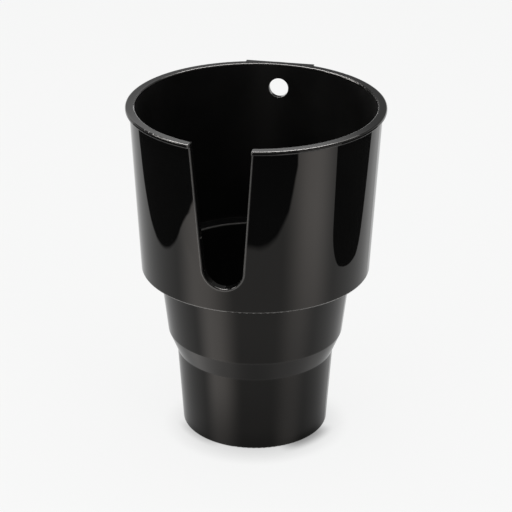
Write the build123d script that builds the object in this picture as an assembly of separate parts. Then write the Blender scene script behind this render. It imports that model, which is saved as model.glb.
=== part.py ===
from build123d import *

import os
from math import acos, atan2, cos, hypot, radians, sin, tan

# Car cup holder, one moulded shell: a wide cup on a stepped, tapered foot that drops into a cup well.
# Millimetres. +Z is up along the axis, the base stands on Z = 0, and the handle slot faces -Y.

# Heights of the four stretches, from the base up
FOOT_HEIGHT = 35.9
CONE_HEIGHT = 9.7
COLLAR_HEIGHT = 29.8
CUP_HEIGHT = 75.4

# Outside radius at the base, and what each stretch adds to it on the way up
FOOT_RADIUS = 32.5
FOOT_FLARE = 2.4
CONE_FLARE = 4.0
COLLAR_FLARE = 3.5
SHELF_WIDTH = 7.9
CUP_FLARE = 4.1

# Turned-out lip round the rim
LIP_OVERHANG = 1.6
LIP_HEIGHT = 1.8

# Wall and floor thicknesses; the cup's wall grows thicker from the rim down to its ledge
RIM_WALL = 2.4
CUP_BASE_WALL = 3.9
FOOT_WALL = 2.5
LEDGE_THICKNESS = 2.5
FLOOR_THICKNESS = 2.5

# Roundings of the section's corners
LIP_TOP_ROUND = 0.7
LIP_LOW_ROUND = 0.6
LIP_ROOT_ROUND = 0.6
RIM_INNER_ROUND = 0.6
CUP_EDGE_ROUND = 0.8
SHELF_ROOT_ROUND = 1.0
BEND_ROUND = 0.8
BASE_ROUND = 0.8
LEDGE_ROOT_ROUND = 0.2
LEDGE_EDGE_ROUND = 0.8
FLOOR_ROOT_ROUND = 2.0

# Handle slot, open through the rim: tapered sides run into a round end, and its faces draw in
# towards the axis. The sizes are those at the lip's outermost line.
SLOT_MOUTH_WIDTH = 27.1
SLOT_DEPTH = 65.3
SLOT_END_RADIUS = 9.5
SLOT_DRAFT_DEG = 7.0
SLOT_EDGE_ROUND = 0.5

# Flat tab on the outside of the lip at the back, flush with the rim, and the fixing hole in the wall
# below it. Their turn is counted from the point straight across from the slot.
TAB_TURN_DEG = 4.5
TAB_WIDTH = 31.0
TAB_HEIGHT = 5.0
TAB_INSET = 0.2
TAB_CORNER_RADIUS = 2.0
TAB_EDGE_ROUND = 0.6
HOLE_DIAMETER = 8.8
HOLE_DROP = 11.0
HOLE_EDGE_ROUND = 0.15

# How far a cutting shape runs past the surface that it cuts
OVERCUT = 5.0

# Levels and radii that follow from the sizes above
COLLAR_Z = FOOT_HEIGHT + CONE_HEIGHT
SHELF_Z = COLLAR_Z + COLLAR_HEIGHT
LEDGE_Z = SHELF_Z + LEDGE_THICKNESS
RIM_Z = SHELF_Z + CUP_HEIGHT
LIP_Z = RIM_Z - LIP_HEIGHT
TAB_Z = RIM_Z - TAB_HEIGHT

FOOT_TOP_RADIUS = FOOT_RADIUS + FOOT_FLARE
COLLAR_RADIUS = FOOT_TOP_RADIUS + CONE_FLARE
COLLAR_TOP_RADIUS = COLLAR_RADIUS + COLLAR_FLARE
CUP_RADIUS = COLLAR_TOP_RADIUS + SHELF_WIDTH
CUP_TOP_RADIUS = CUP_RADIUS + CUP_FLARE
LIP_RADIUS = CUP_TOP_RADIUS + LIP_OVERHANG
REACH = LIP_RADIUS + OVERCUT


def cup_radius_at(z):
    """Outside radius of the cup's wall at the height z."""
    return CUP_RADIUS + CUP_FLARE * (z - SHELF_Z) / CUP_HEIGHT


def tab_face_at(z):
    """Distance of the tab's flat face from the axis at the height z: it leans as the cup's wall does."""
    return cup_radius_at(z) + LIP_OVERHANG - TAB_INSET


def revolved(corners):
    """Solid of revolution about Z from the section's corners, each (radius, height, rounding)."""
    points = [(radius, 0, height) for radius, height, rounding in corners]
    roundings = [rounding for radius, height, rounding in corners]
    outline = FilletPolyline(points, radius=roundings, close=True)
    return revolve(make_face(outline), Axis.Z)


def shell():
    """The whole turned form: foot, cone, collar, cup and lip outside, and the hollow inside."""
    outside = [
        (0, 0, 0),
        (FOOT_RADIUS, 0, BASE_ROUND),
        (FOOT_TOP_RADIUS, FOOT_HEIGHT, BEND_ROUND),
        (COLLAR_RADIUS, COLLAR_Z, BEND_ROUND),
        (COLLAR_TOP_RADIUS, SHELF_Z, SHELF_ROOT_ROUND),
        (CUP_RADIUS, SHELF_Z, CUP_EDGE_ROUND),
        (cup_radius_at(LIP_Z), LIP_Z, LIP_ROOT_ROUND),
        (LIP_RADIUS, LIP_Z, LIP_LOW_ROUND),
        (LIP_RADIUS, RIM_Z, LIP_TOP_ROUND),
    ]
    inside = [
        (CUP_TOP_RADIUS - RIM_WALL, RIM_Z, RIM_INNER_ROUND),
        (cup_radius_at(LEDGE_Z) - CUP_BASE_WALL, LEDGE_Z, LEDGE_ROOT_ROUND),
        (COLLAR_TOP_RADIUS - FOOT_WALL, LEDGE_Z, LEDGE_EDGE_ROUND),
        (COLLAR_RADIUS - FOOT_WALL, COLLAR_Z, BEND_ROUND),
        (FOOT_TOP_RADIUS - FOOT_WALL, FOOT_HEIGHT, BEND_ROUND),
        (FOOT_RADIUS - FOOT_WALL, FLOOR_THICKNESS, FLOOR_ROOT_ROUND),
        (0, FLOOR_THICKNESS, 0),
    ]
    return revolved(outside + inside)


def wall_core():
    """Solid inside the middle of the cup's wall, taken off the tab so that it stays out of the hollow."""
    low_z = TAB_Z - OVERCUT
    high_z = RIM_Z + OVERCUT
    half_wall = RIM_WALL / 2
    return revolved([
        (0, low_z, 0),
        (cup_radius_at(low_z) - half_wall, low_z, 0),
        (cup_radius_at(high_z) - half_wall, high_z, 0),
        (0, high_z, 0),
    ])


def tab_slab(near, far, low_z, high_z):
    """Slab of the tab's width along +Y, between two faces given as functions of the height."""
    side = Polyline(
        (0, near(low_z), low_z),
        (0, far(low_z), low_z),
        (0, far(high_z), high_z),
        (0, near(high_z), high_z),
        close=True,
    )
    return extrude(make_face(side), TAB_WIDTH / 2, dir=(1, 0, 0), both=True)


def tab():
    """The tab's own solid: a flat, rounded at its lower corners and round its face, down to the wall."""
    block = tab_slab(lambda z: 0, tab_face_at, TAB_Z, RIM_Z)
    lower_corners = block.edges().filter_by(Axis.Y).group_by(Axis.Z)[0]
    block = fillet(lower_corners, TAB_CORNER_RADIUS)
    face_edges = block.faces().sort_by(Axis.Y)[-1].edges()
    return fillet(face_edges, TAB_EDGE_ROUND) - wall_core()


def lip_trim():
    """What of the lip stands proud of the tab's face."""
    return tab_slab(tab_face_at, lambda z: REACH, TAB_Z, RIM_Z + OVERCUT)


def hole_cutter():
    """Pin of the fixing hole, from the axis out past the wall."""
    seat = Plane((0, 0, RIM_Z - HOLE_DROP), x_dir=(1, 0, 0), z_dir=(0, 1, 0))
    return extrude(seat * Circle(HOLE_DIAMETER / 2), REACH)


def slot_cutter():
    """Prism of the handle slot, from outside the lip in past the wall, narrower inwards by the draft."""
    draft = tan(radians(SLOT_DRAFT_DEG))
    reach_in = REACH / 2
    end_z = RIM_Z - SLOT_DEPTH + SLOT_END_RADIUS
    half_mouth = SLOT_MOUTH_WIDTH / 2
    rise = RIM_Z - end_z
    # Lean of the sides, so that each meets the round end at a tangent
    lean = acos(SLOT_END_RADIUS / hypot(half_mouth, rise)) - atan2(rise, half_mouth)
    # The outline lies outside the lip by the overcut, and is wider by what the draft adds on the way there
    end_radius = SLOT_END_RADIUS + OVERCUT * draft
    tangent_x = end_radius * cos(lean)
    tangent_z = end_z - end_radius * sin(lean)
    top_z = RIM_Z + OVERCUT + reach_in * draft
    top_x = (end_radius + (top_z - end_z) * sin(lean)) / cos(lean)
    left = Line((-top_x, 0, top_z), (-tangent_x, 0, tangent_z))
    end = ThreePointArc(left @ 1, (0, 0, end_z - end_radius), (tangent_x, 0, tangent_z))
    right = Line(end @ 1, (top_x, 0, top_z))
    top = Line(right @ 1, left @ 0)
    prism = extrude(make_face([left, end, right, top]), reach_in, dir=(0, 1, 0), taper=SLOT_DRAFT_DEG)
    return Pos(0, -REACH, 0) * prism


def cut_with_rounded_edges(body, cutter, rounding):
    """The body less the cutter, with the edges that the cut leaves rounded."""
    cut = body - cutter
    return fillet(new_edges(body, cutter, combined=cut), rounding)


def cup_holder():
    """The finished moulding."""
    turn = Rotation(0, 0, TAB_TURN_DEG)
    body = shell() - turn * lip_trim() + turn * tab()
    body = cut_with_rounded_edges(body, turn * hole_cutter(), HOLE_EDGE_ROUND)
    return cut_with_rounded_edges(body, slot_cutter(), SLOT_EDGE_ROUND)


os.makedirs("parts", exist_ok=True)
export_step(cup_holder(), "parts/cup_holder.step")
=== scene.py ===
from math import cos, pi, radians, sin, tan

import bpy
from mathutils import Matrix, Vector


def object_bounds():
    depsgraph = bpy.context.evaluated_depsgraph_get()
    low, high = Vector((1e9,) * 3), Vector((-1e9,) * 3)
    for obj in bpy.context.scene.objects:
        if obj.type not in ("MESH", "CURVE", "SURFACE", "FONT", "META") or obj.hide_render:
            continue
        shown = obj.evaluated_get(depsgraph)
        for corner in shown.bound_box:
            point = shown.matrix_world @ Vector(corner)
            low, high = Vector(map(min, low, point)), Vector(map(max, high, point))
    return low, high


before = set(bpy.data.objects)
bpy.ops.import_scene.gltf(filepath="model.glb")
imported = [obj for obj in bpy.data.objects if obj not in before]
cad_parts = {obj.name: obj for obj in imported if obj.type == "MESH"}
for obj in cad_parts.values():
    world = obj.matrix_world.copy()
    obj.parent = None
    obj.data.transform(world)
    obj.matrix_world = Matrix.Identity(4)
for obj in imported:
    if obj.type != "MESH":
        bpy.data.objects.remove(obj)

# Car cup holder in black plastic: a polished cup and lip over a satin foot, on a white studio floor.
# Metres, in the part's own frame: +Z up along the cup's axis, the handle slot towards -Y.

cad_low, cad_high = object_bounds()

MM = 0.001

# Camera, at the photograph's height and side
CAMERA_AZIMUTH = radians(15.85)
CAMERA_ELEVATION = radians(24.712)
CAMERA_ROLL = radians(0.248)
CAMERA_DISTANCE = 881.9 * MM
CAMERA_AIM_Z = 78.97 * MM
CAMERA_LENS = 140.27
CAMERA_SENSOR = 36.0
CAMERA_SHIFT_X = 0.0009
CAMERA_SHIFT_Y = 0.0010
CAMERA_CLIP_END = 100.0

# White of the floor and of the room behind it, and the dim light that the room gives the holder's sides
PLAIN_WHITE = (1.0, 1.0, 1.0, 1.0)
STUDIO_WHITE = (0.929, 0.931, 0.929, 1.0)
ROOM_GREY = (0.30, 0.30, 0.30, 1.0)
FLOOR_RADIUS = 12.0
FLOOR_LIT_SHARE = 0.06

# Painted broad shadow on the floor towards the camera, from the holder's ambient occlusion: its reach, the
# way (right, away) in which it looks for the holder, the openness that would be black and the openness that
# is clear
SHADOW_REACH = 17.0 * MM
SHADOW_WAY = (-0.1, 1.0)
SHADOW_OPENNESS = (-1.3, 0.85)
SHADOW_SAMPLES = 16
# Painted close shadows beside the base, placed by where they lie on the floor: the way (right, away) that
# each falls, its reach and its strength; then the closeness to that way at which they begin and are full
CLOSE_SHADOWS = (
    ((0.720, -0.694), 6.8 * MM, 0.57),
    ((-0.800, -0.600), 4.5 * MM, 0.24),
)
CLOSE_SHADOW_TURN = (0.88, 1.0)
# Painted shade on the floor that the gloss sees, standing in for the holder's broad shadow: distances from
# the axis, level near the base, what the front loses close to the base, the share of that loss elsewhere, and
# the way of the front with the closeness to it
FLOOR_DIM_REACH = (115.0 * MM, 420.0 * MM)
FLOOR_DIM_LEVEL = 0.83
FLOOR_FRONT_REACH = (36.0 * MM, 115.0 * MM)
FLOOR_FRONT_LOSS = 0.32
FLOOR_SIDE_SHARE = 0.35
FLOOR_FRONT_WAY = (0.40, -0.92)
FLOOR_FRONT_TURN = (-0.1, 0.8)

# Soft light from above and from both sides of the camera
TOP_LAMP_Z = 1.3
TOP_LAMP_SIZE = 1.2
TOP_LAMP_WATTS = 14.0
SIDE_LAMP_TURN = radians(45.0)
SIDE_LAMP_DISTANCE = 1.4
SIDE_LAMP_Z = 0.9
SIDE_LAMP_SIZE = 0.8
SIDE_LAMP_WATTS = 6.0

# Studio boards, cards and lights that only the gloss sees. Places are (right, away) as the camera sees them.
ARC_STEPS = 24
DISC_SIDES = 96

# Black boards that lie on the floor round the holder
BOARD_LIFT = 0.3 * MM
BOARD_LEVEL = 0.025
LEFT_BOARD_CENTRE = (-590 * MM, 0.0)
LEFT_BOARD_RADII = (374.5 * MM, 377 * MM)
# Corners in millimetres, with the rounding of each
RIGHT_BOARD_CORNERS = (
    (199, -66, 45),
    (199, 72, 70),
    (600, 574, 0),
    (600, -153, 0),
)
FRONT_BOARD_CORNERS = (
    (-190, -226, 0),
    (75, -226, 0),
    (130, -232, 0),
    (190, -256, 0),
    (620, -900, 0),
    (-620, -900, 0),
)
FRONT_BOARD_LEVEL = 0.01
# Share by which the middle of each board is smaller than its soft outline
SIDE_BOARD_SOFT = 0.012
FRONT_BOARD_SOFT = 0.030

# Lights that the floor's own sheen mirrors, set out below the floor. Each has a name; the degrees from the
# camera's side, positive to the right, at which it starts, is full, begins to fall and ends; the same
# outwards, in metres; and its strength
MIRRORED_LIGHTS = (
    ("mirrored_light_right", (24, 53, 57, 86), (0.84, 1.03, 2.3, 3.1), 2.0),
    ("mirrored_light_left", (-86, -59, -53, -18), (0.84, 1.03, 2.3, 3.1), 1.82),
    ("mirrored_glow_right", (5, 70, 110, 160), (0.30, 0.46, 0.80, 1.15), 0.8),
    ("mirrored_glow_left", (-160, -110, -70, -5), (0.30, 0.46, 0.80, 1.15), 0.8),
)
MIRRORED_DEPTH = 1.0
MIRRORED_TINT = (1.0, 0.955, 0.93, 1.0)
MIRRORED_ROWS = 40
MIRRORED_COLUMNS = 50
UNDER_FLOOR_DEPTH = 1.1
UNDER_FLOOR_RADIUS = 16.0
UNDER_FLOOR_LEVEL = 0.0
# The sheen is weaker near the base: distances from the axis and the sheen at each, on both sides, and half
# of the width over which one side runs into the other
SHEEN_RIGHT_REACH = (50.0 * MM, 290.0 * MM)
SHEEN_RIGHT = (0.22, 1.0)
SHEEN_LEFT_REACH = (34.0 * MM, 80.0 * MM)
SHEEN_LEFT = (0.35, 1.0)
SHEEN_SIDE = 30.0 * MM

# Dark tent over the studio: it hangs lower at the sides and in front than behind, where the room shows white.
# The turns from straight behind are where its hem is down and where it is still up.
TENT_RADIUS = 1.6
TENT_BACK_ELEVATION = radians(17.0)
TENT_FRONT_ELEVATION = radians(3.0)
TENT_HEM_TURNS = (radians(78.0), radians(60.0))
TENT_LEVEL = 0.30
TENT_ROWS = 24
TENT_COLUMNS = 72

# White card behind, inside the tent, that the rim's flat mirrors: brighter in its upper part
CARD_AWAY = 0.70
CARD_LEFT = -0.90
CARD_RIGHT = 0.30
CARD_LOW_Z = 0.36
CARD_HIGH_Z = 0.61
CARD_TOP_FADE = 0.02
CARD_RISE_Z = (0.385, 0.47)
CARD_GLOW = (0.2, 1.2)
# The card's lower right border leans: its place to the right at a height, its run per rise, its softness
CARD_BORDER_RIGHT = 0.051
CARD_BORDER_Z = 0.420
CARD_BORDER_RUN = 0.97
CARD_BORDER_SOFT = 0.040
CARD_ROWS = 50
CARD_COLUMNS = 110

# Bright backdrop low behind, for the lines along the rim's inner edge
BACKDROP_AWAY = 1.5
BACKDROP_HALF_WIDTH = 1.4
BACKDROP_HIGH_Z = 0.45
BACKDROP_LEVEL = 1.7

# Softbox high behind, with a wider, dimmer cloth above it, for the bright line along the rim's outer edge:
# name, place, height, radii and level
SOFTBOXES = (
    ("softbox", (-0.08, 0.50), 1.10, (0.55, 0.32), 34.0),
    ("softbox_cloth", (0.0, 0.50), 1.12, (1.10, 0.34), 8.0),
)

# Strip light at the left, for the second line on the lip and for the rim's inner edge across from it
STRIP_PLACE = (-1.2, -0.05)
STRIP_HALF_LENGTH = 0.36
STRIP_LOW_Z = 0.62
STRIP_HIGH_Z = 1.12
STRIP_LEVEL = 16.0

# Section of the moulding from the base up: the height of each stretch and what it adds to the outside radius
BASE_RADIUS = 32.5 * MM
FOOT_HEIGHT = 35.9 * MM
FOOT_FLARE = 2.4 * MM
CONE_HEIGHT = 9.7 * MM
CONE_FLARE = 4.0 * MM
COLLAR_HEIGHT = 29.8 * MM
COLLAR_FLARE = 3.5 * MM
CUP_HEIGHT = 75.4 * MM
CUP_FLARE = 4.1 * MM
STRETCHES = (
    (FOOT_HEIGHT, FOOT_FLARE),
    (CONE_HEIGHT, CONE_FLARE),
    (COLLAR_HEIGHT, COLLAR_FLARE),
    (CUP_HEIGHT, CUP_FLARE),
)
# Shelf under the cup: its width, and the height over which the outside radius takes it in
SHELF_WIDTH = 7.9 * MM
SHELF_RISE = 1.0 * MM
# Lip round the rim, and its upper round
LIP_OVERHANG = 1.6 * MM
LIP_HEIGHT = 1.8 * MM
LIP_ROUND = 0.7 * MM
# Thickness of the wall at the rim, at the ledge and below it, and of the ledge
RIM_WALL = 2.4 * MM
LEDGE_WALL = 3.9 * MM
FOOT_WALL = 2.5 * MM
LEDGE_THICKNESS = 2.5 * MM

# Levels and radii that follow from the section
COLLAR_Z = FOOT_HEIGHT + CONE_HEIGHT
SHELF_Z = COLLAR_Z + COLLAR_HEIGHT
LEDGE_Z = SHELF_Z + LEDGE_THICKNESS
RIM_Z = cad_high[2]
FOOT_TOP_RADIUS = BASE_RADIUS + FOOT_FLARE
COLLAR_RADIUS = FOOT_TOP_RADIUS + CONE_FLARE
COLLAR_TOP_RADIUS = COLLAR_RADIUS + COLLAR_FLARE
CUP_RADIUS = COLLAR_TOP_RADIUS + SHELF_WIDTH
CUP_TOP_RADIUS = CUP_RADIUS + CUP_FLARE
LIP_RADIUS = CUP_TOP_RADIUS + LIP_OVERHANG

# Skin of the wall that counts as its inside, the blur of that border, and the drops from the rim between
# which the inside's finish ends
INSIDE_SKIN = 0.4 * MM
SKIN_BLUR = 0.15 * MM
RIM_BAND = (1.2 * MM, 0.4 * MM)

# Arc of the lip's upper round, where the lip begins to take its normal from that arc, half of the width of
# the slot in front and of the tab behind, which have no such round, and the run from one to the other
LIP_ARC_RADIUS = LIP_RADIUS - LIP_ROUND
LIP_ARC_Z = RIM_Z - LIP_ROUND
LIP_FROM_RADIUS = 54.0 * MM
LIP_FROM_Z = 149.7 * MM
LIP_GAP_HALF_WIDTHS = (14.8 * MM, 20.8 * MM)
LIP_GAP_RUN = 1.0 * MM

# Edges of the section, worn by rubbing and lifted to a lighter grey as a painted highlight of the light they
# catch, a skin inside its sharper corners: radius, level and strength
EDGE_SKIN = 0.1 * MM
RUB_AND_HIGHLIGHT_RINGS = (
    (LIP_RADIUS - EDGE_SKIN, RIM_Z - EDGE_SKIN, 0.03),
    (CUP_TOP_RADIUS - RIM_WALL + EDGE_SKIN, RIM_Z - EDGE_SKIN, 0.04),
    (LIP_RADIUS - EDGE_SKIN, RIM_Z - LIP_HEIGHT + EDGE_SKIN, 0.06),
    (CUP_RADIUS - EDGE_SKIN, SHELF_Z + EDGE_SKIN, 1.0),
    (COLLAR_RADIUS, COLLAR_Z, 0.03),
    (FOOT_TOP_RADIUS, FOOT_HEIGHT, 0.02),
    (BASE_RADIUS - EDGE_SKIN, EDGE_SKIN, 0.10),
    (COLLAR_TOP_RADIUS - FOOT_WALL + EDGE_SKIN, LEDGE_Z - EDGE_SKIN, 0.12),
)
RUB_AND_HIGHLIGHT_REACH = 0.8 * MM
# Corner where the wall meets the ledge, which no tool polishes
DULL_RING = (46.5 * MM, LEDGE_Z)
DULL_REACH = 1.6 * MM

# Handle slot's outline as seen from the front: round end, then sides that lean apart. Its outer edge is worn
# by rubbing and lifted to a lighter grey as a painted highlight, over a reach along the surface and a depth
# into the wall.
SLOT_DEPTH = 65.3 * MM
SLOT_END_RADIUS = 9.5 * MM
SLOT_END_Z = RIM_Z - SLOT_DEPTH + SLOT_END_RADIUS
SLOT_LEAN = 0.0726
SLOT_FRONT_Y = -30.0 * MM
SLOT_RUB_AND_HIGHLIGHT_REACH = 0.55 * MM
SLOT_RUB_AND_HIGHLIGHT_DEPTH = (0.3 * MM, 0.9 * MM)
SLOT_RUB_AND_HIGHLIGHT_STRENGTH = 0.26

# Finish of the plastic
PLASTIC_BLACK = (0.0022, 0.0022, 0.0022, 1.0)
PLASTIC_CLOUDED = (0.0034, 0.0034, 0.0034, 1.0)
# Grey that the edges are lifted to: partly wear from rubbing, partly a painted highlight
PLASTIC_RUB_AND_HIGHLIGHT = (0.30, 0.291, 0.283, 1.0)
PLASTIC_IOR = 1.33
PLASTIC_GLOSS_TINT = (1.0, 0.96, 0.915, 1.0)
POLISHED_ROUGHNESS = 0.022
SATIN_ROUGHNESS = 0.05
INSIDE_ROUGHNESS = 0.34
RUBBED_ROUGHNESS = 0.60
DULL_ROUGHNESS = 0.30
POLISH_FROM_Z = SHELF_Z - 0.2 * MM
POLISH_FULL_Z = SHELF_Z + 0.4 * MM

# Detail of the finish: lumps per metre and finer layers of each noise, and what it adds
GRAIN_NOISE = (3600.0, 1.0)
GRAIN_HEIGHT = 0.0008 * MM
WAVE_NOISE = (110.0, 0.0)
WAVE_HEIGHT = 0.003 * MM
CLOUD_NOISE = (55.0, 3.0)
CLOUD_ROUGHNESS = 0.30
MARK_NOISE = (700.0, 1.0)
MARK_STRETCH = (1.0, 1.0, 0.05)
MARK_HEIGHT = 0.0010 * MM
# Noise that breaks up the worn edges and their painted highlight
EDGE_BREAK_NOISE = (260.0, 2.0)
EDGE_BREAK = (0.0, 0.35)
# The heights above are in metres already
BUMP_DISTANCE = 1.0

# Sockets of the node groups that carry a vector; all others carry a number
VECTOR_SOCKETS = ("Normal",)


def studio(right, away, up):
    """A point in the part's frame from its place as the camera sees it, all in metres."""
    c, s = cos(CAMERA_AZIMUTH), sin(CAMERA_AZIMUTH)
    return Vector((right * c - away * s, right * s + away * c, up))


def between(start, end, share):
    """The value at a share of the way from start to end."""
    return start + (end - start) * share


def smooth(low, high, value):
    """Smooth rise from 0 at low to 1 at high."""
    t = min(max((value - low) / (high - low), 0), 1)
    return t * t * (3 - 2 * t)


def make_camera():
    """The photograph's view: a long lens from in front, above and a little to the right of the slot."""
    data = bpy.data.cameras.new("camera")
    data.lens = CAMERA_LENS
    data.sensor_width = CAMERA_SENSOR
    data.shift_x = CAMERA_SHIFT_X
    data.shift_y = CAMERA_SHIFT_Y
    data.clip_end = CAMERA_CLIP_END
    camera = bpy.data.objects.new("camera", data)
    bpy.context.collection.objects.link(camera)
    back = studio(0, -cos(CAMERA_ELEVATION), sin(CAMERA_ELEVATION))
    camera.rotation_mode = "QUATERNION"
    turn = (-back).to_track_quat("-Z", "Y").to_matrix() @ Matrix.Rotation(CAMERA_ROLL, 3, "Z")
    camera.rotation_quaternion = turn.to_quaternion()
    camera.location = Vector((0, 0, CAMERA_AIM_Z)) + back * CAMERA_DISTANCE
    bpy.context.scene.camera = camera


def feed(tree, value, socket):
    """Links another node's output into a socket, or writes a plain value there."""
    if isinstance(value, bpy.types.NodeSocket):
        tree.links.new(value, socket)
    else:
        socket.default_value = value


def calculate(tree, operation, first, second=0.0):
    """One sum on one or two values."""
    node = tree.nodes.new("ShaderNodeMath")
    node.operation = operation
    feed(tree, first, node.inputs[0])
    feed(tree, second, node.inputs[1])
    return node.outputs["Value"]


def spread(tree, value, low, high, start=0.0, end=1.0, kind="SMOOTHSTEP"):
    """A value's run from low to high, carried over to a run from start to end and held there."""
    node = tree.nodes.new("ShaderNodeMapRange")
    node.interpolation_type = kind
    feed(tree, value, node.inputs["Value"])
    feed(tree, low, node.inputs["From Min"])
    feed(tree, high, node.inputs["From Max"])
    feed(tree, start, node.inputs["To Min"])
    feed(tree, end, node.inputs["To Max"])
    return node.outputs["Result"]


def mixed(tree, kind, factor, first, second):
    """One value, vector or colour fading into another of its kind."""
    node = tree.nodes.new("ShaderNodeMix")
    node.data_type = kind
    feed(tree, factor, node.inputs["Factor"])
    feed(tree, first, node.inputs["A"])
    feed(tree, second, node.inputs["B"])
    return node.outputs["Result"]


def place_in_part(tree):
    """Where a point of the surface lies in the part's frame."""
    return tree.nodes.new("ShaderNodeTexCoord").outputs["Object"]


def coordinates(tree):
    """The same place as three values."""
    split = tree.nodes.new("ShaderNodeSeparateXYZ")
    tree.links.new(place_in_part(tree), split.inputs["Vector"])
    return split.outputs["X"], split.outputs["Y"], split.outputs["Z"]


def joined(tree, x, y, z):
    """A vector from three values."""
    node = tree.nodes.new("ShaderNodeCombineXYZ")
    feed(tree, x, node.inputs["X"])
    feed(tree, y, node.inputs["Y"])
    feed(tree, z, node.inputs["Z"])
    return node.outputs["Vector"]


def length_of(tree, vector):
    """Length of a vector."""
    node = tree.nodes.new("ShaderNodeVectorMath")
    node.operation = "LENGTH"
    tree.links.new(vector, node.inputs[0])
    return node.outputs["Value"]


def flat_length(tree, first, second):
    """Length of the flat vector that two values make."""
    return length_of(tree, joined(tree, first, second, 0.0))


def along(tree, place, direction):
    """How far a place lies along a direction."""
    node = tree.nodes.new("ShaderNodeVectorMath")
    node.operation = "DOT_PRODUCT"
    tree.links.new(place, node.inputs[0])
    node.inputs[1].default_value = direction
    return node.outputs["Value"]


def emission(tree, colour, strength):
    """Light that a surface gives off."""
    node = tree.nodes.new("ShaderNodeEmission")
    feed(tree, colour, node.inputs["Color"])
    feed(tree, strength, node.inputs["Strength"])
    return node.outputs["Emission"]


def see_through(tree, share):
    """What lies behind a surface, or a share of it."""
    node = tree.nodes.new("ShaderNodeBsdfTransparent")
    feed(tree, share, node.inputs["Color"])
    return node.outputs["BSDF"]


def mixed_shaders(tree, factor, first, second):
    """One shader fading into another."""
    node = tree.nodes.new("ShaderNodeMixShader")
    feed(tree, factor, node.inputs["Fac"])
    tree.links.new(first, node.inputs[1])
    tree.links.new(second, node.inputs[2])
    return node.outputs["Shader"]


def added_shaders(tree, first, second):
    """The light of two shaders together."""
    node = tree.nodes.new("ShaderNodeAddShader")
    tree.links.new(first, node.inputs[0])
    tree.links.new(second, node.inputs[1])
    return node.outputs["Shader"]


def new_material(name):
    """An empty node material: itself, its tree and its output's surface."""
    material = bpy.data.materials.new(name)
    material.use_nodes = True
    tree = material.node_tree
    tree.nodes.clear()
    return material, tree, tree.nodes.new("ShaderNodeOutputMaterial").inputs["Surface"]


def new_group(name, inputs, outputs):
    """An empty shader node group with named sockets: its tree, what comes in and what goes out."""
    group = bpy.data.node_groups.new(name, "ShaderNodeTree")
    for way, sockets in (("INPUT", inputs), ("OUTPUT", outputs)):
        for socket in sockets:
            kind = "NodeSocketVector" if socket in VECTOR_SOCKETS else "NodeSocketFloat"
            group.interface.new_socket(name=socket, in_out=way, socket_type=kind)
    return group, group.nodes.new("NodeGroupInput").outputs, group.nodes.new("NodeGroupOutput").inputs


def place_group(tree, group, **values):
    """The group placed in a tree with its own values: its outputs."""
    node = tree.nodes.new("ShaderNodeGroup")
    node.node_tree = group
    for name, value in values.items():
        feed(tree, value, node.inputs[name])
    return node.outputs


def stage_piece(name, points, faces, material):
    """A studio piece from points and faces."""
    mesh = bpy.data.meshes.new(name)
    mesh.from_pydata(points, [], faces)
    mesh.materials.append(material)
    piece = bpy.data.objects.new(name, mesh)
    bpy.context.collection.objects.link(piece)
    return piece


def gloss_only(piece):
    """Leaves a studio piece in reflections and takes it out of everything else."""
    piece.visible_camera = False
    piece.visible_diffuse = False
    piece.visible_transmission = False
    piece.visible_volume_scatter = False
    piece.visible_shadow = False


def keep_values(piece, name, values):
    """Keeps one value at each point of a studio piece, for its material."""
    kept = piece.data.attributes.new(name, "FLOAT", "POINT")
    kept.data.foreach_set("value", values)


def kept_values(tree, name):
    """The values that a studio piece keeps under that name."""
    node = tree.nodes.new("ShaderNodeAttribute")
    node.attribute_name = name
    return node.outputs["Fac"]


def disc_points(centre, radii, height):
    """Points round an ellipse that lies flat."""
    turns = [2 * pi * side / DISC_SIDES for side in range(DISC_SIDES)]
    return [
        studio(centre[0] + radii[0] * cos(turn), centre[1] + radii[1] * sin(turn), height)
        for turn in turns
    ]


def rounded_points(corners, height):
    """Points of a flat outline from its corners in millimetres, each (right, away, rounding)."""
    points = []
    count = len(corners)
    for i, (right, away, rounding) in enumerate(corners):
        corner = Vector((right, away))
        before = (Vector(corners[i - 1][:2]) - corner).normalized()
        after = (Vector(corners[(i + 1) % count][:2]) - corner).normalized()
        if rounding == 0:
            path = [corner]
        else:
            half = before.angle(after) / 2
            start = corner + before * rounding / tan(half)
            end = corner + after * rounding / tan(half)
            middle = corner + (before + after).normalized() * rounding / sin(half)
            path = [
                middle + (start - middle).slerp(end - middle, step / ARC_STEPS) * rounding
                for step in range(ARC_STEPS + 1)
            ]
        points += [studio(p.x * MM, p.y * MM, height) for p in path]
    return points


def grid_faces(rows, columns):
    """Four-sided faces of a grid of points that was listed row by row."""
    wide = columns + 1
    return [
        (r * wide + c, r * wide + c + 1, (r + 1) * wide + c + 1, (r + 1) * wide + c)
        for r in range(rows)
        for c in range(columns)
    ]


def one_face(name, points, material):
    """A studio piece of a single flat face."""
    return stage_piece(name, points, [range(len(points))], material)


def painted_broad_shadow(tree):
    """Painted shadow: share of light that is left on the floor near the holder."""
    lean = tree.nodes.new("ShaderNodeNormal")
    lean.outputs["Normal"].default_value = studio(*SHADOW_WAY, 1.0).normalized()
    near = tree.nodes.new("ShaderNodeAmbientOcclusion")
    near.samples = SHADOW_SAMPLES
    near.inputs["Distance"].default_value = SHADOW_REACH
    tree.links.new(lean.outputs["Normal"], near.inputs["Normal"])
    return spread(tree, near.outputs["AO"], *SHADOW_OPENNESS, kind="LINEAR")


def painted_close_shadow(tree, place, distance, way, reach, strength):
    """Painted shadow: share of light that is left beside the base, on the side where one shadow falls."""
    turn = calculate(tree, "DIVIDE", along(tree, place, studio(*way, 0)), distance)
    near = spread(tree, distance, BASE_RADIUS, BASE_RADIUS + reach, strength, 0.0)
    dark = calculate(tree, "MULTIPLY", near, spread(tree, turn, *CLOSE_SHADOW_TURN))
    return calculate(tree, "SUBTRACT", 1.0, dark)


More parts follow.
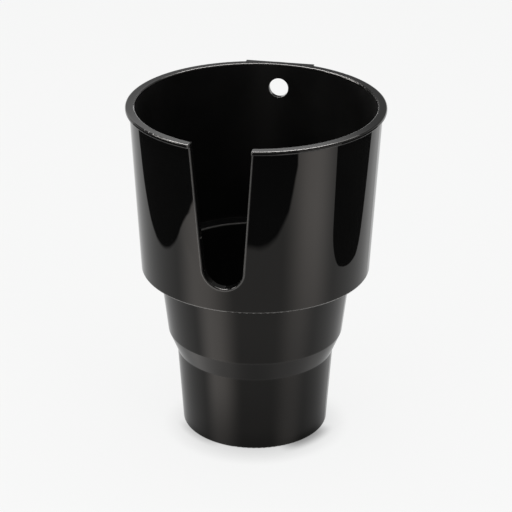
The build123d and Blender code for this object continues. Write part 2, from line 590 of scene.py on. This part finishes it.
def gloss_floor_with_painted_shade(tree, place, distance):
    """Level of the floor that the gloss sees, with a painted shade: dimmer near the base, most of all in
    front.
    """
    forward = calculate(tree, "DIVIDE", along(tree, place, studio(*FLOOR_FRONT_WAY, 0)), distance)
    share = spread(tree, forward, *FLOOR_FRONT_TURN, FLOOR_SIDE_SHARE, 1.0)
    loss = spread(tree, distance, *FLOOR_FRONT_REACH, FLOOR_FRONT_LOSS, 0.0, "LINEAR")
    level = spread(tree, distance, *FLOOR_DIM_REACH, FLOOR_DIM_LEVEL, 1.0, "LINEAR")
    return calculate(tree, "SUBTRACT", level, calculate(tree, "MULTIPLY", loss, share))


def floor_sheen(tree, place, distance):
    """Share of the mirrored lights that the floor's sheen shows."""
    right = spread(tree, distance, *SHEEN_RIGHT_REACH, *SHEEN_RIGHT)
    left = spread(tree, distance, *SHEEN_LEFT_REACH, *SHEEN_LEFT)
    return spread(tree, along(tree, place, studio(1, 0, 0)), -SHEEN_SIDE, SHEEN_SIDE, left, right)


def floor_material():
    """White floor: mostly its own even white, with a painted soft shadow at the base, a painted dimmer floor
    in gloss, and a share of lamp light.
    """
    material, tree, surface = new_material("studio_floor")
    material.cycles.emission_sampling = "NONE"
    path = tree.nodes.new("ShaderNodeLightPath").outputs
    place = place_in_part(tree)
    distance = length_of(tree, place)
    shade = painted_broad_shadow(tree)
    for shadow in CLOSE_SHADOWS:
        shade = calculate(tree, "MULTIPLY", shade, painted_close_shadow(tree, place, distance, *shadow))
    level = calculate(tree, "MAXIMUM", gloss_floor_with_painted_shade(tree, place, distance), path["Is Camera Ray"])
    even = emission(tree, STUDIO_WHITE, calculate(tree, "MULTIPLY", shade, level))
    lit = tree.nodes.new("ShaderNodeBsdfDiffuse")
    lit.inputs["Color"].default_value = STUDIO_WHITE
    plain = mixed_shaders(tree, FLOOR_LIT_SHARE, even, lit.outputs["BSDF"])
    glossy = added_shaders(tree, even, see_through(tree, floor_sheen(tree, place, distance)))
    tree.links.new(mixed_shaders(tree, path["Is Glossy Ray"], plain, glossy), surface)
    return material


def make_floor():
    """The pale floor that the holder stands on."""
    one_face("studio_floor", disc_points((0, 0), (FLOOR_RADIUS, FLOOR_RADIUS), 0), floor_material())


def make_world():
    """White room to the camera, in gloss and through gaps, and a dim grey one as light."""
    world = bpy.data.worlds.new("studio")
    world.use_nodes = True
    world.cycles.sampling_method = "NONE"
    bpy.context.scene.world = world
    tree = world.node_tree
    tree.nodes.clear()
    path = tree.nodes.new("ShaderNodeLightPath").outputs
    seen = calculate(tree, "MAXIMUM", path["Is Camera Ray"], path["Is Glossy Ray"])
    seen = calculate(tree, "MAXIMUM", seen, path["Is Transmission Ray"])
    dim = tree.nodes.new("ShaderNodeBackground")
    dim.inputs["Color"].default_value = ROOM_GREY
    white = tree.nodes.new("ShaderNodeBackground")
    white.inputs["Color"].default_value = STUDIO_WHITE
    room = mixed_shaders(tree, seen, dim.outputs["Background"], white.outputs["Background"])
    tree.links.new(room, tree.nodes.new("ShaderNodeOutputWorld").inputs["Surface"])


def area_lamp(name, place, size, watts):
    """A square soft lamp aimed at the middle of the holder."""
    data = bpy.data.lights.new(name, "AREA")
    data.shape = "SQUARE"
    data.size = size
    data.energy = watts
    lamp = bpy.data.objects.new(name, data)
    bpy.context.collection.objects.link(lamp)
    lamp.location = place
    lamp.rotation_mode = "QUATERNION"
    lamp.rotation_quaternion = (Vector((0, 0, CAMERA_AIM_Z)) - place).to_track_quat("-Z", "Y")
    lamp.visible_glossy = False


def make_lamps():
    """Plain soft light: one lamp overhead and one to each side of the camera."""
    area_lamp("top_lamp", studio(0, 0, TOP_LAMP_Z), TOP_LAMP_SIZE, TOP_LAMP_WATTS)
    for name, turn in (("left_lamp", -SIDE_LAMP_TURN), ("right_lamp", SIDE_LAMP_TURN)):
        place = studio(SIDE_LAMP_DISTANCE * sin(turn), -SIDE_LAMP_DISTANCE * cos(turn), SIDE_LAMP_Z)
        area_lamp(name, place, SIDE_LAMP_SIZE, SIDE_LAMP_WATTS)


def even_glow(name, strength):
    """Even light of a studio cloth or lamp face, or none for black."""
    material, tree, surface = new_material(name)
    tree.links.new(emission(tree, PLAIN_WHITE, strength), surface)
    return material


def added_glow(name, tint):
    """Light added to what lies behind it, as strong as the piece's own glow values say."""
    material, tree, surface = new_material(name)
    light = emission(tree, tint, kept_values(tree, "glow"))
    tree.links.new(added_shaders(tree, see_through(tree, PLAIN_WHITE), light), surface)
    return material


def glowing_grid(name, points, glow, rows, columns, material):
    """A sheet of light with a glow value at each of its points."""
    sheet = stage_piece(name, points, grid_faces(rows, columns), material)
    keep_values(sheet, "glow", glow)
    gloss_only(sheet)


def mirrored_light(name, turns, reaches, strength, material):
    """One light below the floor, soft on all sides."""
    start, full, fall, end = turns
    inner, near, far, outer = reaches
    points = []
    glow = []
    for row in range(MIRRORED_ROWS + 1):
        reach = between(inner, outer, row / MIRRORED_ROWS)
        level = strength * smooth(inner, near, reach) * smooth(outer, far, reach)
        for column in range(MIRRORED_COLUMNS + 1):
            turn = between(start, end, column / MIRRORED_COLUMNS)
            place = radians(turn)
            points.append(studio(reach * sin(place), -reach * cos(place), -MIRRORED_DEPTH))
            glow.append(level * smooth(start, full, turn) * smooth(end, fall, turn))
    glowing_grid(name, points, glow, MIRRORED_ROWS, MIRRORED_COLUMNS, material)


def make_mirrored_lights():
    """The lights that the floor's sheen mirrors: they draw the upright bands on the wall and the foot."""
    points = disc_points((0, 0), (UNDER_FLOOR_RADIUS, UNDER_FLOOR_RADIUS), -UNDER_FLOOR_DEPTH)
    gloss_only(one_face("under_floor", points, even_glow("under_floor", UNDER_FLOOR_LEVEL)))
    material = added_glow("mirrored_light", MIRRORED_TINT)
    for name, turns, reaches, strength in MIRRORED_LIGHTS:
        mirrored_light(name, turns, reaches, strength, material)


def soft_board(name, outline, soft, level):
    """A dark board whose outline fades out over a narrow border."""
    material, tree, surface = new_material(name)
    felt = emission(tree, PLAIN_WHITE, level)
    cover = kept_values(tree, "cover")
    tree.links.new(mixed_shaders(tree, cover, see_through(tree, PLAIN_WHITE), felt), surface)
    middle = sum(outline, Vector()) / len(outline)
    inset = [point.lerp(middle, soft) for point in outline]
    count = len(outline)
    border = [(i, (i + 1) % count, (i + 1) % count + count, i + count) for i in range(count)]
    board = stage_piece(name, outline + inset, border + [range(count, 2 * count)], material)
    keep_values(board, "cover", [0.0] * count + [1.0] * count)
    gloss_only(board)


def make_boards():
    """Black boards on the floor, mirrored as the dark panels of the polished wall."""
    left = disc_points(LEFT_BOARD_CENTRE, LEFT_BOARD_RADII, BOARD_LIFT)
    soft_board("left_board", left, SIDE_BOARD_SOFT, BOARD_LEVEL)
    right = rounded_points(RIGHT_BOARD_CORNERS, BOARD_LIFT)
    soft_board("right_board", right, SIDE_BOARD_SOFT, BOARD_LEVEL)
    front = rounded_points(FRONT_BOARD_CORNERS, BOARD_LIFT)
    soft_board("front_board", front, FRONT_BOARD_SOFT, FRONT_BOARD_LEVEL)


def make_tent():
    """The dark tent, from its hem up to the point overhead."""
    points = []
    for row in range(TENT_ROWS + 1):
        for column in range(TENT_COLUMNS + 1):
            turn = 2 * pi * column / TENT_COLUMNS - pi
            hem = between(TENT_FRONT_ELEVATION, TENT_BACK_ELEVATION, smooth(*TENT_HEM_TURNS, abs(turn)))
            rise = between(hem, pi / 2, row / TENT_ROWS)
            reach = TENT_RADIUS * cos(rise)
            points.append(studio(reach * sin(turn), reach * cos(turn), TENT_RADIUS * sin(rise)))
    tent = stage_piece("tent", points, grid_faces(TENT_ROWS, TENT_COLUMNS), even_glow("tent", TENT_LEVEL))
    gloss_only(tent)


def make_card():
    """The white card behind, with a soft leaning border, for the rim's flat."""
    points = []
    glow = []
    for row in range(CARD_ROWS + 1):
        height = between(CARD_LOW_Z, CARD_HIGH_Z, row / CARD_ROWS)
        border = CARD_BORDER_RIGHT + (height - CARD_BORDER_Z) * CARD_BORDER_RUN
        level = between(*CARD_GLOW, smooth(*CARD_RISE_Z, height))
        level *= smooth(CARD_HIGH_Z, CARD_HIGH_Z - CARD_TOP_FADE, height)
        for column in range(CARD_COLUMNS + 1):
            right = between(CARD_LEFT, CARD_RIGHT, column / CARD_COLUMNS)
            points.append(studio(right, CARD_AWAY, height))
            glow.append(level * smooth(border + CARD_BORDER_SOFT, border - CARD_BORDER_SOFT, right))
    glowing_grid("white_card", points, glow, CARD_ROWS, CARD_COLUMNS, added_glow("white_card", STUDIO_WHITE))


def upright_sheet(name, middle, half, low_z, high_z, level):
    """An even, upright sheet of light, from its middle on the floor plan and half of its length there."""
    left, right = middle - half, middle + half
    points = [studio(*left, low_z), studio(*right, low_z), studio(*right, high_z), studio(*left, high_z)]
    gloss_only(one_face(name, points, even_glow(name, level)))


def make_back_lights():
    """The bright backdrop low behind, the strip light at the left and the softbox high behind."""
    backdrop = Vector((0, BACKDROP_AWAY)), Vector((BACKDROP_HALF_WIDTH, 0))
    upright_sheet("backdrop", *backdrop, 0.0, BACKDROP_HIGH_Z, BACKDROP_LEVEL)
    strip = Vector(STRIP_PLACE), Vector((0, STRIP_HALF_LENGTH))
    upright_sheet("left_strip", *strip, STRIP_LOW_Z, STRIP_HIGH_Z, STRIP_LEVEL)
    for name, place, height, radii, level in SOFTBOXES:
        gloss_only(one_face(name, disc_points(place, radii, height), even_glow(name, level)))


def section_group():
    """Where a point of the moulding lies: radius, height, depth under the outside, and the finish's masks."""
    group, _, result = new_group("section", (), ("Radius", "Height", "Depth", "Inside", "Polish"))
    x, y, height = coordinates(group)
    radius = flat_length(group, x, y)
    outside = BASE_RADIUS
    level = 0.0
    for rise, flare in STRETCHES:
        added = spread(group, height, level, level + rise, 0.0, flare, "LINEAR")
        outside = calculate(group, "ADD", outside, added)
        level += rise
    shelf = spread(group, height, SHELF_Z, SHELF_Z + SHELF_RISE, 0.0, SHELF_WIDTH, "LINEAR")
    depth = calculate(group, "SUBTRACT", calculate(group, "ADD", outside, shelf), radius)
    wall = spread(group, height, LEDGE_Z, RIM_Z, LEDGE_WALL, RIM_WALL, "LINEAR")
    thinner = spread(group, height, SHELF_Z, LEDGE_Z, FOOT_WALL - LEDGE_WALL, 0.0, "LINEAR")
    skin = calculate(group, "SUBTRACT", depth, calculate(group, "ADD", wall, thinner))
    inside = spread(group, skin, -INSIDE_SKIN - SKIN_BLUR, -INSIDE_SKIN + SKIN_BLUR)
    below_rim = spread(group, height, RIM_Z - RIM_BAND[0], RIM_Z - RIM_BAND[1], 1.0, 0.0)
    inside = calculate(group, "MULTIPLY", inside, below_rim)
    above_shelf = spread(group, height, POLISH_FROM_Z, POLISH_FULL_Z)
    outer = calculate(group, "SUBTRACT", 1.0, inside)
    feed(group, radius, result["Radius"])
    feed(group, height, result["Height"])
    feed(group, depth, result["Depth"])
    feed(group, inside, result["Inside"])
    feed(group, calculate(group, "MULTIPLY", above_shelf, outer), result["Polish"])
    return group


def lip_normal_group():
    """The surface's normal, made smooth on the lip's upper round from the round's own arc."""
    group, given, result = new_group("lip_normal", ("Radius", "Height", "Normal"), ("Normal",))
    x, y, _ = coordinates(group)
    over = calculate(group, "MAXIMUM", calculate(group, "SUBTRACT", given["Radius"], LIP_ARC_RADIUS), 0.0)
    rise = calculate(group, "MAXIMUM", calculate(group, "SUBTRACT", given["Height"], LIP_ARC_Z), 0.0)
    share = calculate(group, "DIVIDE", over, given["Radius"])
    arc = group.nodes.new("ShaderNodeVectorMath")
    arc.operation = "NORMALIZE"
    out_x = calculate(group, "MULTIPLY", x, share)
    out_y = calculate(group, "MULTIPLY", y, share)
    group.links.new(joined(group, out_x, out_y, rise), arc.inputs[0])
    gap = spread(group, y, -LIP_GAP_RUN, LIP_GAP_RUN, *LIP_GAP_HALF_WIDTHS, "LINEAR")
    beside = calculate(group, "GREATER_THAN", calculate(group, "ABSOLUTE", x), gap)
    high = calculate(group, "GREATER_THAN", given["Height"], LIP_FROM_Z)
    outer = calculate(group, "GREATER_THAN", given["Radius"], LIP_FROM_RADIUS)
    mask = calculate(group, "MULTIPLY", beside, calculate(group, "MULTIPLY", high, outer))
    feed(group, mixed(group, "VECTOR", mask, given["Normal"], arc.outputs["Vector"]), result["Normal"])
    return group


def ring_group():
    """Mask of an edge that runs round the axis: 1 on the edge, 0 at the reach."""
    group, given, result = new_group(
        "edge_ring", ("Radius", "Height", "Ring Radius", "Ring Height", "Reach"), ("Mask",)
    )
    across = calculate(group, "SUBTRACT", given["Radius"], given["Ring Radius"])
    rise = calculate(group, "SUBTRACT", given["Height"], given["Ring Height"])
    distance = flat_length(group, across, rise)
    feed(group, spread(group, distance, 0.0, given["Reach"], 1.0, 0.0), result["Mask"])
    return group


def slot_edge_group():
    """Mask of the handle slot's outer edge, for its wear and painted highlight: 1 on the edge, 0 at its
    reach.
    """
    group, given, result = new_group("slot_edge", ("Depth",), ("Mask",))
    x, y, height = coordinates(group)
    rise = calculate(group, "SUBTRACT", height, SLOT_END_Z)
    reach = flat_length(group, x, calculate(group, "MINIMUM", rise, 0.0))
    widening = calculate(group, "MULTIPLY", calculate(group, "MAXIMUM", rise, 0.0), SLOT_LEAN)
    gap = calculate(group, "SUBTRACT", reach, calculate(group, "ADD", widening, SLOT_END_RADIUS))
    edge = spread(group, calculate(group, "ABSOLUTE", gap), 0.0, SLOT_RUB_AND_HIGHLIGHT_REACH, 1.0, 0.0)
    outer = spread(group, given["Depth"], *SLOT_RUB_AND_HIGHLIGHT_DEPTH, 1.0, 0.0)
    front = calculate(group, "LESS_THAN", y, SLOT_FRONT_Y)
    mask = calculate(group, "MULTIPLY", calculate(group, "MULTIPLY", edge, outer), front)
    feed(group, mask, result["Mask"])
    return group


def noise(tree, place, scale, detail):
    """Soft noise from 0 to 1, at a number of lumps per metre."""
    node = tree.nodes.new("ShaderNodeTexNoise")
    tree.links.new(place, node.inputs["Vector"])
    node.inputs["Scale"].default_value = scale
    node.inputs["Detail"].default_value = detail
    return node.outputs["Fac"]


def finish_group():
    """Detail of moulded plastic: height of its grain, draw marks and waves, soft clouds, breaks in the worn
    edges and their painted highlight.
    """
    group, given, result = new_group("moulded_finish", ("Polish",), ("Height", "Clouds", "Edge Breaks"))
    place = place_in_part(group)
    drawn = group.nodes.new("ShaderNodeVectorMath")
    drawn.operation = "MULTIPLY"
    group.links.new(place, drawn.inputs[0])
    drawn.inputs[1].default_value = MARK_STRETCH
    grain = calculate(group, "MULTIPLY", noise(group, place, *GRAIN_NOISE), GRAIN_HEIGHT)
    marks = calculate(group, "MULTIPLY", noise(group, drawn.outputs["Vector"], *MARK_NOISE), MARK_HEIGHT)
    satin = calculate(group, "ADD", grain, marks)
    waves = calculate(group, "MULTIPLY", noise(group, place, *WAVE_NOISE), WAVE_HEIGHT)
    feed(group, mixed(group, "FLOAT", given["Polish"], satin, waves), result["Height"])
    feed(group, noise(group, place, *CLOUD_NOISE), result["Clouds"])
    feed(group, spread(group, noise(group, place, *EDGE_BREAK_NOISE), *EDGE_BREAK), result["Edge Breaks"])
    return group


def ring_mask(tree, ring, section, radius, height, reach):
    """Mask of one edge that runs round the axis."""
    place = {"Radius": section["Radius"], "Height": section["Height"]}
    edge = {"Ring Radius": radius, "Ring Height": height, "Reach": reach}
    return place_group(tree, ring, **place, **edge)["Mask"]


def rub_and_highlight_mask(tree, ring, section, breaks):
    """Edges of the whole moulding, worn and carrying a painted highlight, broken up by the finish's own
    noise.
    """
    slot = place_group(tree, slot_edge_group(), Depth=section["Depth"])["Mask"]
    mask = calculate(tree, "MULTIPLY", slot, SLOT_RUB_AND_HIGHLIGHT_STRENGTH)
    for radius, height, strength in RUB_AND_HIGHLIGHT_RINGS:
        edge = ring_mask(tree, ring, section, radius, height, RUB_AND_HIGHLIGHT_REACH)
        mask = calculate(tree, "MAXIMUM", mask, calculate(tree, "MULTIPLY", edge, strength))
    return calculate(tree, "MULTIPLY", mask, breaks)


def plastic_roughness(tree, section, clouds, rub_and_highlight, dull):
    """Polished or satin outside, dull inside, uneven in soft clouds, rougher on worn edges or where
    unpolished.
    """
    rough = spread(tree, section["Polish"], 0.0, 1.0, SATIN_ROUGHNESS, POLISHED_ROUGHNESS, "LINEAR")
    inner = spread(tree, section["Inside"], 0.0, 1.0, 0.0, INSIDE_ROUGHNESS - SATIN_ROUGHNESS, "LINEAR")
    rough = calculate(tree, "ADD", rough, inner)
    share = spread(tree, clouds, 0.0, 1.0, 1 - CLOUD_ROUGHNESS, 1 + CLOUD_ROUGHNESS, "LINEAR")
    rough = calculate(tree, "MULTIPLY", rough, share)
    rough = calculate(tree, "ADD", rough, calculate(tree, "MULTIPLY", rub_and_highlight, RUBBED_ROUGHNESS))
    return calculate(tree, "ADD", rough, calculate(tree, "MULTIPLY", dull, DULL_ROUGHNESS))


def plastic_normal(tree, section, height):
    """The surface's normal with the lip's smooth round and the finish's fine relief."""
    normal = tree.nodes.new("ShaderNodeNewGeometry").outputs["Normal"]
    place = {"Radius": section["Radius"], "Height": section["Height"]}
    lip = place_group(tree, lip_normal_group(), **place, Normal=normal)["Normal"]
    bump = tree.nodes.new("ShaderNodeBump")
    bump.inputs["Distance"].default_value = BUMP_DISTANCE
    tree.links.new(lip, bump.inputs["Normal"])
    tree.links.new(height, bump.inputs["Height"])
    return bump.outputs["Normal"]


def plastic_material():
    """Black moulded plastic: mirror polish on the cup and lip, satin below the step, dull inside."""
    material, tree, surface = new_material("black_plastic")
    shader = tree.nodes.new("ShaderNodeBsdfPrincipled")
    shader.inputs["IOR"].default_value = PLASTIC_IOR
    shader.inputs["Specular Tint"].default_value = PLASTIC_GLOSS_TINT
    tree.links.new(shader.outputs["BSDF"], surface)
    section = place_group(tree, section_group())
    finish = place_group(tree, finish_group(), Polish=section["Polish"])
    ring = ring_group()
    rub_and_highlight = rub_and_highlight_mask(tree, ring, section, finish["Edge Breaks"])
    dull = ring_mask(tree, ring, section, *DULL_RING, DULL_REACH)
    clouded = mixed(tree, "RGBA", finish["Clouds"], PLASTIC_BLACK, PLASTIC_CLOUDED)
    # The edges' lighter grey: partly wear, partly a painted highlight in the base colour
    tree.links.new(mixed(tree, "RGBA", rub_and_highlight, clouded, PLASTIC_RUB_AND_HIGHLIGHT), shader.inputs["Base Color"])
    rough = plastic_roughness(tree, section, finish["Clouds"], rub_and_highlight, dull)
    tree.links.new(rough, shader.inputs["Roughness"])
    tree.links.new(plastic_normal(tree, section, finish["Height"]), shader.inputs["Normal"])
    return material


def dress_holder():
    """The moulding itself, in its plastic."""
    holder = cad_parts["cup_holder"]
    holder.data.materials.clear()
    holder.data.materials.append(plastic_material())


bpy.context.scene.view_settings.view_transform = "Standard"
make_camera()
make_world()
make_floor()
make_lamps()
make_mirrored_lights()
make_boards()
make_tent()
make_card()
make_back_lights()
dress_holder()
